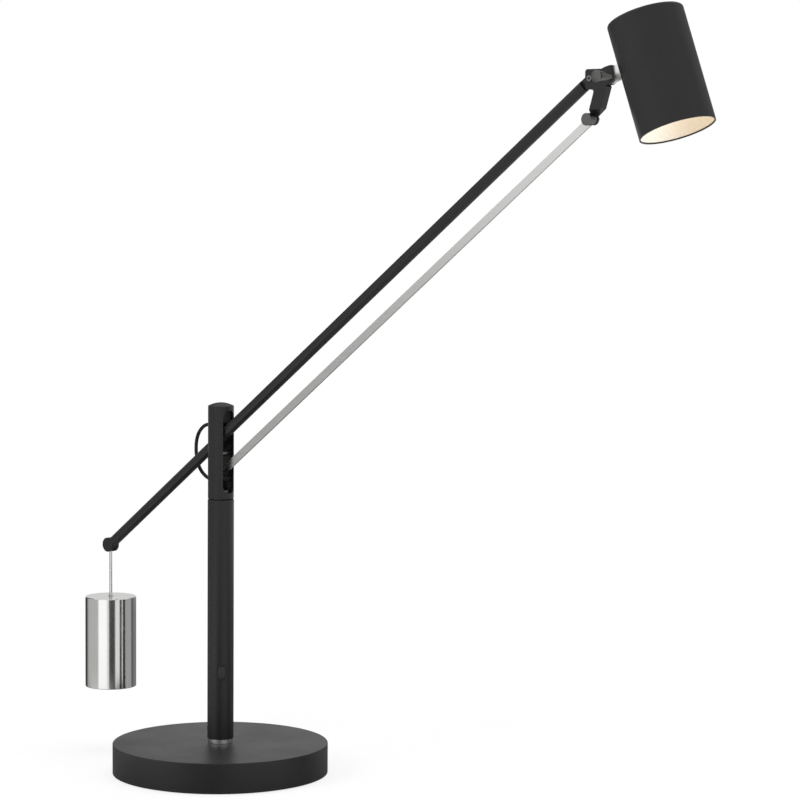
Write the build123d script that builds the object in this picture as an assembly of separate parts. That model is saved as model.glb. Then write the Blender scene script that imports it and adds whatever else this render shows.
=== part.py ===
from build123d import *

import os
from math import acos, asin, atan2, cos, degrees, hypot, pi, radians, sin, sqrt, tan

# Counterweight balance desk lamp, in millimetres.
# The origin is on the table under the centre of the base, +Z is up, and the arm swings in the
# plane Y = 0 with the shade towards +X. "Near" pieces lie on the -Y side of that plane.

# ---------------------------------------------------------------- clearances
fixed_gap = 0.02          # radial, between pieces that are pressed or screwed together
running_gap = 0.05        # radial, between a pin and what turns on it
side_gap = 0.1            # between faces that slide past each other
cut_through = 1.0         # how far a cut runs past what it cuts
screw_end_gap = 0.5       # between a blind hole's end and its screw
round_end_relief = 0.01   # so that a slot's round ends stay just short of half circles

# ---------------------------------------------------------------- base
base_diameter = 205.0
base_height = 29.0
cover_wall = 1.5
cover_edge_radius = 0.8
cover_lift = 0.8          # the skirt's edge stays this far above the table
pad_height = 2.0
pad_inset = 1.5           # from the skirt's inside to the pad
plate_thickness = 2.0
weight_clearance = 0.3
weight_rim_width = 12.7
weight_web = 12.5
weight_boss_radius = 18.0
weight_boss_drop = 1.5
plate_screw_start = 60.0  # degrees from +X to the first screw
plate_screw_count = 3
plate_screw_diameter = 2.9
plate_screw_length = 9.0
plate_screw_head_diameter = 6.2

# ---------------------------------------------------------------- lead gland in the skirt
gland_height = 11.0
gland_body_diameter = 8.0
gland_flange_diameter = 11.0
gland_flange_thickness = 1.5
gland_bore = 5.5
gland_pocket = 14.0

# ---------------------------------------------------------------- stem that clamps base and post
nipple_diameter = 10.0
nipple_bore = 7.0
nipple_stickout = 2.0     # past the nut
stem_washer_diameter = 22.0
stem_washer_thickness = 1.2
stem_nut_width = 14.0
stem_nut_height = 5.0
collar_diameter = 24.0
collar_height = 4.5
collar_edge = 0.4

# ---------------------------------------------------------------- lower post
post_diameter = 25.0
post_wall = 1.5
groove_edge = 0.6         # chamfer each side of the groove where the head turns
foot_plug_length = 14.5

# ---------------------------------------------------------------- switch in the post
switch_height = 98.0
switch_azimuth = -40.0    # degrees from +X, seen from above
switch_flat_height = 15.3
switch_flat_depth = 0.75  # of the milled flat, below the post's round face
button_width = 7.7
button_height = 10.8
button_corner_radius = 3.5
button_stand = 0.65       # how far the button stands out of the flat
button_crown = 0.25       # how much of that is its domed face
button_length = 4.6
button_travel = 1.3
button_gap = 0.25
switch_body_depth = 15.0
switch_body_width = 10.0
switch_body_height = 18.0

# ---------------------------------------------------------------- swivel between post and head
spigot_length = 22.0
journal_diameter = 12.0
swivel_nut_diameter = 16.0
swivel_nut_height = 2.5

# ---------------------------------------------------------------- post head
head_diameter = 24.6
head_wall = 2.0
head_gap = 0.4            # groove opening between the post and its head
dome_height = 3.3
slot_width = 14.2
slot_above_pivot = 26.3
slot_below_link = 18.2    # from the link pivot down to the slot's end
head_above_slot = 4.0
head_below_slot = 5.9
bush_below_slot = 0.3
yoke_sheet = 1.2
yoke_half_length = 6.0
yoke_tail = 8.0           # below the link pivot
yoke_end_radius = 5.5
yoke_screw_diameter = 2.5
yoke_screw_length = 6.0
yoke_screw_head_diameter = 5.5
yoke_screw_head_height = 2.0

# ---------------------------------------------------------------- linkage
arm_angle = 36.7          # degrees above level, as shown
arm_pivot_height = 320.5
link_spacing = 34.0       # between arm and link pivots, at the post and at the lever
arm_length = 550.0        # from the post pivot to the lever pivot
tail_length = 193.4       # from the post pivot to the counterweight pivot
pivot_pin_diameter = 4.0
rivet_head_diameter = 6.4
rivet_head_height = 0.9
cross_bolt_diameter = 5.4
cross_bolt_end_diameter = 3.0
cross_bolt_x = 2.6
cross_bolt_drop = 14.5    # below the arm pivot

# ---------------------------------------------------------------- arm and link bar
arm_diameter = 10.0
arm_wall = 0.8
arm_bush_diameter = 7.0
arm_tip_setback = 10.2    # the tube stops this far before the lever pivot
tip_spigot_length = 14.0
tongue_thickness = 2.4
tongue_width = 9.6
bar_width = 7.2
bar_thickness = 2.0
bar_pivot_play = 0.15     # radial, at the knob end, where the loop of links is open
link_spacer_diameter = 7.0

# ---------------------------------------------------------------- tail and counterweight
barrel_diameter = 14.0
barrel_width = 9.1
tail_spigot_length = 15.0
hang_pin_diameter = 3.0
hang_pin_cover = 1.0      # metal left over the pin's near end
rod_diameter = 3.0
rod_eye_diameter = 8.8
rod_eye_thickness = 3.4
rod_slot_gap = 0.1
rod_exposed_length = 51.4 # from the pin to the top of the counterweight
rod_grip_length = 20.0
weight_diameter = 50.0
weight_length = 89.3
weight_edge = 0.5
weight_recess_diameter = 6.0
weight_recess_depth = 3.0

# ---------------------------------------------------------------- head lever, measured from its arm pivot
lever_thickness = 7.0
lever_back = 5.0
lever_rise = 7.7
lever_drop = 9.3
lever_corner_radius = 2.5
lever_heel_radius = 3.5
lever_crotch_radius = 2.0
tilt_pivot_x = 21.0
tilt_pivot_z = 0.8
cheek_back = 9.0          # start of the cheek's rise, behind the tilt pivot
cheek_top = 9.8           # above the tilt pivot
cheek_top_front = 1.0     # end of the cheek's rise, ahead of the tilt pivot
cheek_bulge = 1.0         # of the rise
cheek_front = 2.4         # ahead of the tilt pivot
cheek_bottom = 6.6        # below the tilt pivot
cheek_bottom_back = 4.0   # behind the tilt pivot
cheek_round = (1.4, -4.4) # a point on the cheek's lower round, from the tilt pivot
hip_drop = 1.4            # from the cheek's underside to the leg's front
leg_crotch_x = 4.6
leg_front_x = 17.8
leg_slant = 17.2          # degrees from plumb
leg_front_drop = 25.2
leg_step_drop = 25.9      # where the near face starts to slope back to the foot
leg_slope_clearance = 0.7 # between the slope and the link bar's round end
foot_radius = 4.9
foot_shoulder = 27.0      # degrees up the foot's round where the leg's front meets it
foot_thickness = 1.6
lever_screw_diameter = 3.0
lever_screw_head_diameter = 5.0
lever_screw_head_height = 1.1
cross_recess_width = 0.8
cross_recess_depth = 0.6
cross_recess_rim = 1.0    # from the recess to the head's edge
knob_diameter = 10.4
knob_length = 7.5
knob_edge = 0.6
knob_screw_diameter = 4.0
link_washer_diameter = 8.0
link_nut_width = 7.0
link_nut_height = 2.6

# ---------------------------------------------------------------- thumb knob
thumb_small_diameter = 5.6
thumb_large_diameter = 10.3
thumb_length = 19.2
thumb_collar = 1.5
thumb_crown = 0.8
thumb_grip = 1.5          # straight length behind the crown
thumb_screw_diameter = 4.0

# ---------------------------------------------------------------- shade, measured from its tilt pivot
shade_tilt = 20.5         # degrees, mouth outwards
shade_diameter = 64.6
shade_length = 99.8
shade_wall = 1.2
shade_edge_radius = 2.0
shade_top_above_pivot = 34.3
shade_wall_gap = 15.4     # from the tilt pivot to the shade's wall
strap_thickness = 2.2
strap_width = 13.6
strap_rise = 1.1          # of the strap's middle above the tilt pivot
strap_foot_thickness = 1.6
strap_foot_width = 16.4
bracket_screw_diameter = 3.0
bracket_screw_spacing = 10.6
bracket_screw_head_diameter = 5.2
bracket_screw_head_height = 1.6
bracket_wall_relief = 0.6 # between the round wall and the flat of the inner bracket
inner_bracket_sheet = 1.2
inner_bracket_width = 16.0
inner_bracket_tail = 7.0  # below the screws
inner_bracket_headroom = 4.5
inner_bracket_reach = 10.0
holder_diameter = 26.0
holder_neck_diameter = 19.0
holder_length = 34.0
holder_nipple_diameter = 10.0
holder_bore = 14.2
holder_bore_depth = 21.0
holder_nut_width = 14.0
holder_nut_height = 3.0
holder_ring_diameter = 29.0
holder_ring_height = 4.0
bulb_cap_diameter = 13.6
bulb_cap_length = 18.0
bulb_diameter = 26.0
bulb_length = 38.0
bulb_neck_length = 7.0

# ---------------------------------------------------------------- lead loop behind the post head
lead_diameter = 3.4
lead_bend_share = 0.45
lead_points = [
    (-2.0, 4.9, 331.4),
    (-16.3, 5.2, 332.4),
    (-31.0, 7.2, 330.3),
    (-42.2, 9.0, 319.3),
    (-44.0, 9.2, 302.9),
    (-38.7, 8.4, 288.6),
    (-27.2, 6.6, 280.6),
    (-13.8, 4.2, 278.6),
    (-2.0, 0.8, 275.6),
    (-0.4, 0.2, 264.2),
]
clip_wall = 0.9
clip_length = 4.0

# ---------------------------------------------------------------- places worked out from the sizes
base_radius = base_diameter / 2
cover_inside_radius = base_radius - cover_wall
cover_ceiling = base_height - cover_wall
weight_radius = cover_inside_radius - weight_clearance
plate_screw_circle_radius = weight_radius - weight_rim_width / 2
plate_bottom = pad_height
plate_top = plate_bottom + plate_thickness
web_bottom = cover_ceiling - weight_web
boss_bottom = web_bottom - weight_boss_drop
stem_nut_top = boss_bottom - stem_washer_thickness
link_pivot_height = arm_pivot_height - link_spacing
slot_top = arm_pivot_height + slot_above_pivot
slot_bottom = link_pivot_height - slot_below_link
head_top = slot_top + head_above_slot
head_bottom = slot_bottom - head_below_slot
post_top = head_bottom - head_gap
post_bottom = base_height + collar_height
post_bore = post_diameter - 2 * post_wall
switch_flat_radius = post_diameter / 2 - switch_flat_depth
head_bore = head_diameter - 2 * head_wall
bush_bottom = post_top + side_gap
bush_top = slot_bottom - bush_below_slot
swivel_nut_bottom = bush_top + side_gap
journal_top = swivel_nut_bottom + swivel_nut_height
yoke_inside = slot_width / 2
yoke_outside = yoke_inside + yoke_sheet
yoke_web_bottom = slot_top + side_gap
yoke_top = yoke_web_bottom + yoke_sheet
lever_x = arm_length * cos(radians(arm_angle))
lever_z = arm_pivot_height + arm_length * sin(radians(arm_angle))
tail_x = -tail_length * cos(radians(arm_angle))
tail_z = arm_pivot_height - tail_length * sin(radians(arm_angle))
weight_top = tail_z - rod_exposed_length
lever_half = lever_thickness / 2
tongue_slot = tongue_thickness + 2 * side_gap
strap_slot = strap_thickness + 2 * side_gap
foot_back = lever_half - foot_thickness
shade_radius = shade_diameter / 2
shade_axis_x = shade_wall_gap + shade_radius
shade_top = shade_top_above_pivot
shade_mouth = shade_top - shade_length
shade_inside_radius = shade_radius - shade_wall
bracket_shelf_top = shade_top - shade_wall - inner_bracket_headroom
bracket_shelf_bottom = bracket_shelf_top - inner_bracket_sheet
holder_bottom = bracket_shelf_bottom - holder_length


def tube(outer, bore, bottom, top):
    """An upright round tube on the Z axis, from one height to another."""
    height = top - bottom
    middle = Pos(0, 0, bottom + height / 2)
    return middle * (Cylinder(outer / 2, height) - Cylinder(bore / 2, height))


def rod(diameter, bottom, top):
    """An upright round bar on the Z axis."""
    return Pos(0, 0, (bottom + top) / 2) * Cylinder(diameter / 2, top - bottom)


def cross_rod(diameter, near, far, x=0.0, z=0.0):
    """A round bar along Y, from its near end to its far end."""
    return Pos(x, (near + far) / 2, z) * Rot(90, 0, 0) * Cylinder(diameter / 2, far - near)


def long_rod(diameter, start, end):
    """A round bar along X."""
    return Pos((start + end) / 2, 0, 0) * Rot(0, 90, 0) * Cylinder(diameter / 2, end - start)


def block(x_range, y_range, z_range):
    """A box given by its limits along each axis."""
    ranges = (x_range, y_range, z_range)
    size = [high - low for low, high in ranges]
    middle = [(high + low) / 2 for low, high in ranges]
    return Pos(*middle) * Box(*size)


def plate(sketch, near, far):
    """A sketch drawn in X and Z, given thickness along Y."""
    return extrude(Plane.XZ.offset(-far) * sketch, far - near)


def hex_bar(width, bottom, top):
    """A hexagonal bar on the Z axis, by its width across flats."""
    outline = RegularPolygon(width / 2, 6, major_radius=False)
    return Pos(0, 0, bottom) * extrude(outline, top - bottom)


def on_arm():
    """The place of the arm: origin at the post pivot, X along the arm."""
    return Pos(0, 0, arm_pivot_height) * Rot(0, -arm_angle, 0)


def on_lever():
    return Pos(lever_x, 0, lever_z)


def on_shade():
    """The place of the shade: origin at its tilt pivot, X square to its wall."""
    return on_lever() * Pos(tilt_pivot_x, 0, tilt_pivot_z) * Rot(0, -shade_tilt, 0)


def plate_screw_places():
    return PolarLocations(plate_screw_circle_radius, plate_screw_count, plate_screw_start)


# ================================================================ base

def gland_axis():
    return Pos(0, 0, gland_height)


def base_cover():
    cup = rod(base_diameter, cover_lift, base_height)
    cup = fillet(cup.edges().group_by(Axis.Z)[-1], cover_edge_radius)
    cup -= rod(2 * cover_inside_radius, 0, cover_ceiling)
    cup -= rod(nipple_diameter + 2 * fixed_gap, 0, base_height + cut_through)
    hole = gland_axis() * long_rod(gland_body_diameter + 2 * fixed_gap, -base_radius - cut_through, -weight_boss_radius)
    return cup - hole


def base_weight():
    outside = 2 * weight_radius
    inside = outside - 2 * weight_rim_width
    casting = rod(outside, plate_top, cover_ceiling) - rod(inside, 0, web_bottom)
    casting += rod(2 * weight_boss_radius, boss_bottom, cover_ceiling)
    casting -= rod(nipple_diameter + 2 * fixed_gap, 0, base_height)
    screw_hole = rod(plate_screw_diameter + 2 * fixed_gap, 0, plate_top + plate_screw_length)
    casting -= plate_screw_places() * screw_hole
    half = gland_pocket / 2
    pocket = block((-base_radius, -inside / 2 + cut_through), (-half, half), (0, gland_height + half))
    return casting - pocket


def plate_screw_shape(grow):
    """A countersunk screw, or with some growth the hole for it."""
    head_height = (plate_screw_head_diameter - plate_screw_diameter) / 2
    head = Cone(plate_screw_head_diameter / 2 + grow, plate_screw_diameter / 2 + grow, head_height)
    shank = rod(plate_screw_diameter + 2 * grow, plate_bottom, plate_top + plate_screw_length - screw_end_gap)
    return Pos(0, 0, plate_bottom + head_height / 2) * head + shank


def base_plate():
    sheet = rod(2 * weight_radius, plate_bottom, plate_top)
    return sheet - plate_screw_places() * plate_screw_shape(fixed_gap)


def base_plate_screws():
    return [place * plate_screw_shape(0) for place in plate_screw_places()]


def base_pad():
    return rod(2 * (cover_inside_radius - pad_inset), 0, pad_height)


def cord_gland():
    front = -base_radius - gland_flange_thickness
    back = -cover_inside_radius + gland_flange_thickness
    flange = long_rod(gland_flange_diameter, front, back)
    skirt = rod(base_diameter, -base_height, base_height)
    skirt -= rod(2 * cover_inside_radius, -base_height, base_height)
    gland = flange - skirt + long_rod(gland_body_diameter, front, back)
    gland -= long_rod(gland_bore, front - cut_through, back + cut_through)
    return gland_axis() * gland


def stem_nipple():
    bottom = stem_nut_top - stem_nut_height - nipple_stickout
    top = post_bottom + foot_plug_length
    return tube(nipple_diameter - 2 * fixed_gap, nipple_bore, bottom, top)


def stem_washer():
    return tube(stem_washer_diameter, nipple_diameter + 2 * fixed_gap, stem_nut_top, boss_bottom)


def stem_nut():
    nut = hex_bar(stem_nut_width, stem_nut_top - stem_nut_height, stem_nut_top)
    return nut - rod(nipple_diameter, 0, stem_nut_top + cut_through)


def base_collar():
    ring = tube(collar_diameter, nipple_diameter + 2 * fixed_gap, base_height, post_bottom)
    outer_edges = ring.edges().filter_by(GeomType.CIRCLE).group_by(lambda edge: edge.radius)[-1]
    return chamfer(outer_edges, collar_edge)


# ================================================================ lower post and switch

def switch_place():
    """Origin on the post's axis at the switch, with X pointing out of the post."""
    return Pos(0, 0, switch_height) * Rot(0, 0, switch_azimuth)


def oval_prism(width, height, corner, start, end):
    """An upright rounded rectangle pushed outwards along X, from one radius to another."""
    outline = RectangleRounded(width, height, corner)
    return extrude(Plane.YZ.offset(start) * outline, end - start)


def lower_post():
    post = rod(post_diameter, post_bottom, post_top)
    post = chamfer(post.edges().group_by(Axis.Z)[-1], groove_edge)
    post -= rod(post_bore, 0, post_top + cut_through)
    half = switch_flat_height / 2
    flat = block((switch_flat_radius, post_diameter), (-post_bore / 2, post_bore / 2), (-half, half))
    width = button_width + 2 * button_gap
    height = button_height + 2 * button_gap
    opening = oval_prism(width, height, button_corner_radius + button_gap, 0, post_diameter)
    return post - switch_place() * (flat + opening)


def foot_plug():
    top = post_bottom + foot_plug_length
    return tube(post_bore - 2 * fixed_gap, nipple_diameter, post_bottom, top)


def switch_button():
    face = switch_flat_radius + button_stand
    inner = face - button_length
    crown = (button_height ** 2 / 4 + button_crown ** 2) / (2 * button_crown)
    button = oval_prism(button_width, button_height, button_corner_radius, inner, face)
    button &= Pos(face - crown, 0, 0) * Rot(90, 0, 0) * Cylinder(crown, button_width)
    return switch_place() * button


def switch_body():
    front = switch_flat_radius - post_wall + switch_flat_depth - side_gap
    half = switch_body_width / 2
    tall = switch_body_height / 2
    body = block((front - switch_body_depth, front), (-half, half), (-tall, tall))
    inner = switch_flat_radius + button_stand - button_length - button_travel - side_gap
    width = button_width + 2 * side_gap
    height = button_height + 2 * side_gap
    body -= oval_prism(width, height, button_corner_radius + side_gap, inner, post_diameter)
    return switch_place() * (body & rod(post_bore - 2 * fixed_gap, -tall, tall))


# ================================================================ swivel and post head

def swivel_spigot():
    plug = rod(post_bore - 2 * fixed_gap, post_top - spigot_length, post_top)
    plug += rod(journal_diameter, post_top, journal_top)
    return plug - rod(nipple_bore, 0, journal_top + cut_through)


def swivel_nut():
    bore = journal_diameter + 2 * fixed_gap
    return tube(swivel_nut_diameter, bore, swivel_nut_bottom, journal_top)


def slot_prism(width, bottom, top, reach):
    """A round-ended upright slot that goes through along X."""
    outline = RectangleRounded(width, top - bottom, width / 2 - round_end_relief)
    return extrude(Plane.YZ.offset(-reach) * Pos(0, (top + bottom) / 2) * outline, 2 * reach)


def head_tube():
    shell = rod(head_diameter, head_bottom, head_top)
    shell = chamfer(shell.edges().group_by(Axis.Z)[0], groove_edge)
    shell -= rod(head_bore, 0, head_top + cut_through)
    return shell - slot_prism(slot_width, slot_bottom, slot_top, head_diameter)


def head_bush():
    bore = journal_diameter + 2 * running_gap
    return tube(head_bore - 2 * fixed_gap, bore, bush_bottom, bush_top)


def head_cap():
    radius = head_diameter / 2
    crown = (radius ** 2 + dome_height ** 2) / (2 * dome_height)
    dome = Pos(0, 0, head_top + dome_height - crown) * Sphere(crown)
    cap = dome & rod(head_diameter, head_top, head_top + dome_height + cut_through)
    cap += rod(head_bore - 2 * fixed_gap, yoke_top, head_top)
    return cap - rod(yoke_screw_diameter + 2 * fixed_gap, 0, yoke_web_bottom + yoke_screw_length)


def pivot_yoke():
    bottom = link_pivot_height - yoke_tail
    size = yoke_half_length
    strap = block((-size, size), (-yoke_outside, yoke_outside), (bottom, yoke_top))
    ends = strap.edges().filter_by(Axis.Y).group_by(Axis.Z)[0]
    strap = fillet(ends, yoke_end_radius)
    strap -= block((-size, size), (-yoke_inside, yoke_inside), (bottom, yoke_web_bottom))
    pin_hole = pivot_pin_diameter + 2 * fixed_gap
    for z in (arm_pivot_height, link_pivot_height):
        strap -= cross_rod(pin_hole, -head_diameter, head_diameter, 0, z)
    bolt_z = arm_pivot_height - cross_bolt_drop
    bolt_hole = cross_bolt_end_diameter + 2 * fixed_gap
    strap -= cross_rod(bolt_hole, -head_diameter, head_diameter, cross_bolt_x, bolt_z)
    return strap - rod(yoke_screw_diameter + 2 * fixed_gap, yoke_web_bottom - cut_through, yoke_top + cut_through)


def yoke_screw():
    head = rod(yoke_screw_head_diameter, yoke_web_bottom - yoke_screw_head_height, yoke_web_bottom)
    return head + rod(yoke_screw_diameter, yoke_web_bottom, yoke_web_bottom + yoke_screw_length - screw_end_gap)


def riveted_pin(z):
    """A pin across the yoke, headed on both outer sides."""
    shank = cross_rod(pivot_pin_diameter, -yoke_outside, yoke_outside, 0, z)
    reach = yoke_outside + rivet_head_height
    near_head = cross_rod(rivet_head_diameter, -reach, -yoke_outside, 0, z)
    far_head = cross_rod(rivet_head_diameter, yoke_outside, reach, 0, z)
    return shank + near_head + far_head


def yoke_cross_bolt():
    z = arm_pivot_height - cross_bolt_drop
    body = cross_rod(cross_bolt_diameter, -yoke_inside, yoke_inside, cross_bolt_x, z)
    return body + cross_rod(cross_bolt_end_diameter, -yoke_outside, yoke_outside, cross_bolt_x, z)


def link_spacers():
    inner = bar_thickness / 2 + side_gap / 2
    outer = yoke_inside - side_gap / 2
    bore = cross_rod(pivot_pin_diameter + 2 * fixed_gap, -head_diameter, head_diameter)
    spacer = cross_rod(link_spacer_diameter, inner, outer) - bore
    place = Pos(0, 0, link_pivot_height)
    return [place * spacer, place * mirror(spacer, about=Plane.XZ)]


def lead_radii():
    """The bend at each inner point, as large as its two runs allow."""
    points = [Vector(*point) for point in lead_points]
    radii = []
    for before, corner, after in zip(points, points[1:], points[2:]):
        turn = radians((corner - before).get_angle(after - corner))
        shorter = min((corner - before).length, (after - corner).length)
        radii.append(lead_bend_share * shorter / tan(turn / 2))
    return radii


def lead_clip():
    """Block on the yoke's far cheek that holds the lead's upper end."""
    start, towards = Vector(*lead_points[0]), Vector(*lead_points[1])
    reach = lead_diameter / 2 + clip_wall
    front = start.X - fixed_gap
    body = block((front - clip_length, front), (start.Y - reach, yoke_inside), (start.Z - reach, start.Z + reach))
    hole = Cylinder(lead_diameter / 2 + fixed_gap, 4 * clip_length)
    return body - Plane(start, z_dir=towards - start) * hole


def cable_loop():
    radii = lead_radii()
    path = FilletPolyline(*lead_points, radius=radii)
    lead = sweep(Plane(path @ 0, z_dir=path % 0) * Circle(lead_diameter / 2), path=path)
    expected = pi * (lead_diameter / 2) ** 2 * path.length
    print("lead bends", [round(radius, 1) for radius in radii])
    print("lead volume over section times length", round(lead.volume / expected, 4))
    return lead


# ================================================================ arm and link bar

def arm_tube():
    start = -tail_length
    end = arm_length - arm_tip_setback
    pipe = long_rod(arm_diameter, start, end)
    pipe -= cross_rod(barrel_diameter, -arm_diameter, arm_diameter, -tail_length)
    pipe -= long_rod(arm_diameter - 2 * arm_wall, start, end)
    pipe -= cross_rod(arm_bush_diameter + 2 * fixed_gap, -arm_diameter, arm_diameter)
    return on_arm() * pipe


def arm_bush():
    reach = yoke_inside - side_gap
    bush = cross_rod(arm_bush_diameter, -reach, reach)
    return on_arm() * (bush - cross_rod(pivot_pin_diameter + 2 * running_gap, -reach, reach))


def arm_tip_plug():
    shoulder = arm_length - arm_tip_setback
    spigot = long_rod(arm_diameter - 2 * arm_wall - 2 * fixed_gap, shoulder - tip_spigot_length, shoulder)
    half = tongue_width / 2
    tongue = block((shoulder, arm_length), (-tongue_thickness / 2, tongue_thickness / 2), (-half, half))
    tongue += cross_rod(tongue_width, -tongue_thickness / 2, tongue_thickness / 2, arm_length)
    pin_hole = lever_screw_diameter + 2 * running_gap
    plug = spigot + tongue - cross_rod(pin_hole, -arm_diameter, arm_diameter, arm_length)
    return on_arm() * plug


def rod_slot():
    """Room in the tail barrel for the rod's eye and for the rod's swing, round the hang pin."""
    half = rod_eye_thickness / 2 + rod_slot_gap
    eye_room = rod_eye_diameter / 2 + 3 * rod_slot_gap
    reach = barrel_diameter
    swing = block((-reach, rod_diameter + 2 * rod_slot_gap), (-half, half), (-reach, 0))
    return cross_rod(2 * eye_room, -half, half) + swing


def tail_barrel():
    half = barrel_width / 2
    barrel = cross_rod(barrel_diameter, -half, half)
    barrel += long_rod(arm_diameter - 2 * arm_wall - 2 * fixed_gap, half, barrel_diameter / 2 + tail_spigot_length)
    barrel -= rod_slot()
    barrel -= cross_rod(hang_pin_diameter + 2 * fixed_gap, -half + hang_pin_cover, half + cut_through)
    return on_arm() * Pos(-tail_length, 0, 0) * barrel


def hang_pin():
    half = barrel_width / 2
    return on_arm() * Pos(-tail_length, 0, 0) * cross_rod(hang_pin_diameter, -half + hang_pin_cover, half)


def link_bar():
    half = bar_thickness / 2
    bar = plate(Pos(arm_length / 2, 0) * SlotCenterToCenter(arm_length, bar_width), -half, half)
    bar -= cross_rod(pivot_pin_diameter + 2 * running_gap, -half, half)
    bar -= cross_rod(knob_screw_diameter + 2 * bar_pivot_play, -half, half, arm_length)
    return Pos(0, 0, link_pivot_height) * Rot(0, -arm_angle, 0) * bar


# ================================================================ counterweight

def hang_rod():
    eye = cross_rod(rod_eye_diameter, -rod_eye_thickness / 2, rod_eye_thickness / 2)
    eye += rod(rod_diameter, -rod_exposed_length - rod_grip_length, 0)
    eye -= cross_rod(hang_pin_diameter + 2 * running_gap, -rod_diameter, rod_diameter)
    return Pos(tail_x, 0, tail_z) * eye


def counterweight():
    body = rod(weight_diameter, -weight_length, 0)
    body = chamfer(body.edges().filter_by(GeomType.CIRCLE), weight_edge)
    body -= rod(weight_recess_diameter, -weight_recess_depth, cut_through)
    body -= rod(rod_diameter + 2 * fixed_gap, -rod_grip_length - cut_through, cut_through)
    return Pos(tail_x, 0, weight_top) * body


# ================================================================ head lever

def tangent_angle(point, centre, radius):
    """Where a line from the point touches the circle, as an angle round it, on the left side."""
    across = point[0] - centre[0]
    up = point[1] - centre[1]
    return degrees(atan2(up, across) + acos(radius / hypot(across, up)))


def on_foot(angle):
    return foot_radius * cos(radians(angle)), foot_radius * sin(radians(angle)) - link_spacing


def lever_outline():
    """The lever seen from the side, with its arm pivot at the origin."""
    lean = tan(radians(leg_slant))
    knee = (leg_crotch_x - lean * (leg_step_drop - lever_drop), -leg_step_drop)
    cheek_low = (tilt_pivot_x - cheek_bottom_back, tilt_pivot_z - cheek_bottom)
    hip = (leg_front_x, cheek_low[1] - hip_drop)
    shin = (hip[0] - lean * (leg_front_drop + hip[1]), -leg_front_drop)
    rise_start = (tilt_pivot_x - cheek_back, lever_rise)
    rise_end = (tilt_pivot_x + cheek_top_front, tilt_pivot_z + cheek_top)
    rise_middle = ((rise_start[0] + rise_end[0]) / 2, rise_end[1] - cheek_bulge)
    nose = (tilt_pivot_x + cheek_front, tilt_pivot_z)
    nose_middle = (tilt_pivot_x + cheek_round[0], tilt_pivot_z + cheek_round[1])
    heel_angle = tangent_angle(knee, (0, -link_spacing), foot_radius)
    foot_start = on_foot(foot_shoulder)
    foot_bottom = on_foot(-90)
    foot_end = on_foot(heel_angle)
    lines = [
        Line((-lever_back, -lever_drop), (-lever_back, lever_rise)),
        Line((-lever_back, lever_rise), rise_start),
        ThreePointArc(rise_start, rise_middle, rise_end),
        Line(rise_end, nose),
        ThreePointArc(nose, nose_middle, cheek_low),
        Line(cheek_low, hip),
        Line(hip, shin),
        Line(shin, foot_start),
        ThreePointArc(foot_start, foot_bottom, foot_end),
        Line(foot_end, knee),
        Line(knee, (leg_crotch_x, -lever_drop)),
        Line((leg_crotch_x, -lever_drop), (-lever_back, -lever_drop)),
    ]
    outline = make_face(Wire(lines))
    for point, radius in (
        ((-lever_back, lever_rise), lever_corner_radius),
        ((-lever_back, -lever_drop), lever_heel_radius),
        ((leg_crotch_x, -lever_drop), lever_crotch_radius),
    ):
        corner = outline.vertices().sort_by_distance((point[0], point[1], 0))[0]
        outline = fillet(corner, radius)
    return outline


def head_lever():
    lever = plate(lever_outline(), -lever_half, lever_half)
    tall = (-lever_drop - cut_through, lever_rise + cheek_top)
    half = tongue_slot / 2
    bridge_start = tongue_width / 2 + 3 * side_gap
    lever -= block((-lever_back - cut_through, bridge_start), (-half, half), tall)
    half = strap_slot / 2
    room = strap_width / 2 + strap_rise + 4 * side_gap
    far = tilt_pivot_x + strap_width
    lever -= cross_rod(2 * room, -half, half, tilt_pivot_x, tilt_pivot_z)
    lever -= block((tilt_pivot_x - room, far), (-half, half), (tilt_pivot_z, tall[1]))
    lever -= block((tilt_pivot_x, far), (-half, half), (tall[0], tall[1]))
    cut_end = -link_spacing - foot_radius - cut_through
    slope_end = -link_spacing + bar_width / 2 + leg_slope_clearance
    near_half = make_face(Polyline(
        (-lever_half, -leg_step_drop), (foot_back, slope_end), (foot_back, cut_end), (-lever_half, cut_end),
        close=True))
    lever -= extrude(Plane.YZ.offset(-far) * near_half, 2 * far)
    lever -= cross_rod(lever_screw_diameter + 2 * fixed_gap, -lever_half, lever_half)
    lever -= cross_rod(knob_screw_diameter + 2 * fixed_gap, -lever_half, lever_half, 0, -link_spacing)
    thumb_hole = thumb_screw_diameter + 2 * running_gap
    lever -= cross_rod(thumb_hole, -lever_half, lever_half, tilt_pivot_x, tilt_pivot_z)
    return on_lever() * lever


def lever_screw():
    outer = -lever_half - lever_screw_head_height
    screw = cross_rod(lever_screw_head_diameter, outer, -lever_half)
    screw += cross_rod(lever_screw_diameter, -lever_half, lever_half)
    arm = lever_screw_head_diameter / 2 - cross_recess_rim
    thin = cross_recess_width / 2
    depth = (outer, outer + cross_recess_depth)
    screw -= block((-arm, arm), depth, (-thin, thin))
    screw -= block((-thin, thin), depth, (-arm, arm))
    return on_lever() * screw


def link_knob():
    inner = -bar_thickness / 2 - side_gap / 2
    cap = cross_rod(knob_diameter, inner - knob_length, inner)
    cap = chamfer(cap.edges().group_by(Axis.Y)[0], knob_edge)
    end = lever_half + side_gap + link_nut_height
    screw = cross_rod(knob_screw_diameter, inner, end)
    return on_lever() * Pos(0, 0, -link_spacing) * (cap + screw)


def link_washer():
    inner = bar_thickness / 2 + side_gap / 2
    washer = cross_rod(link_washer_diameter, inner, foot_back - side_gap / 2)
    washer -= cross_rod(knob_screw_diameter + 2 * fixed_gap, 0, lever_thickness)
    return on_lever() * Pos(0, 0, -link_spacing) * washer


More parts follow.
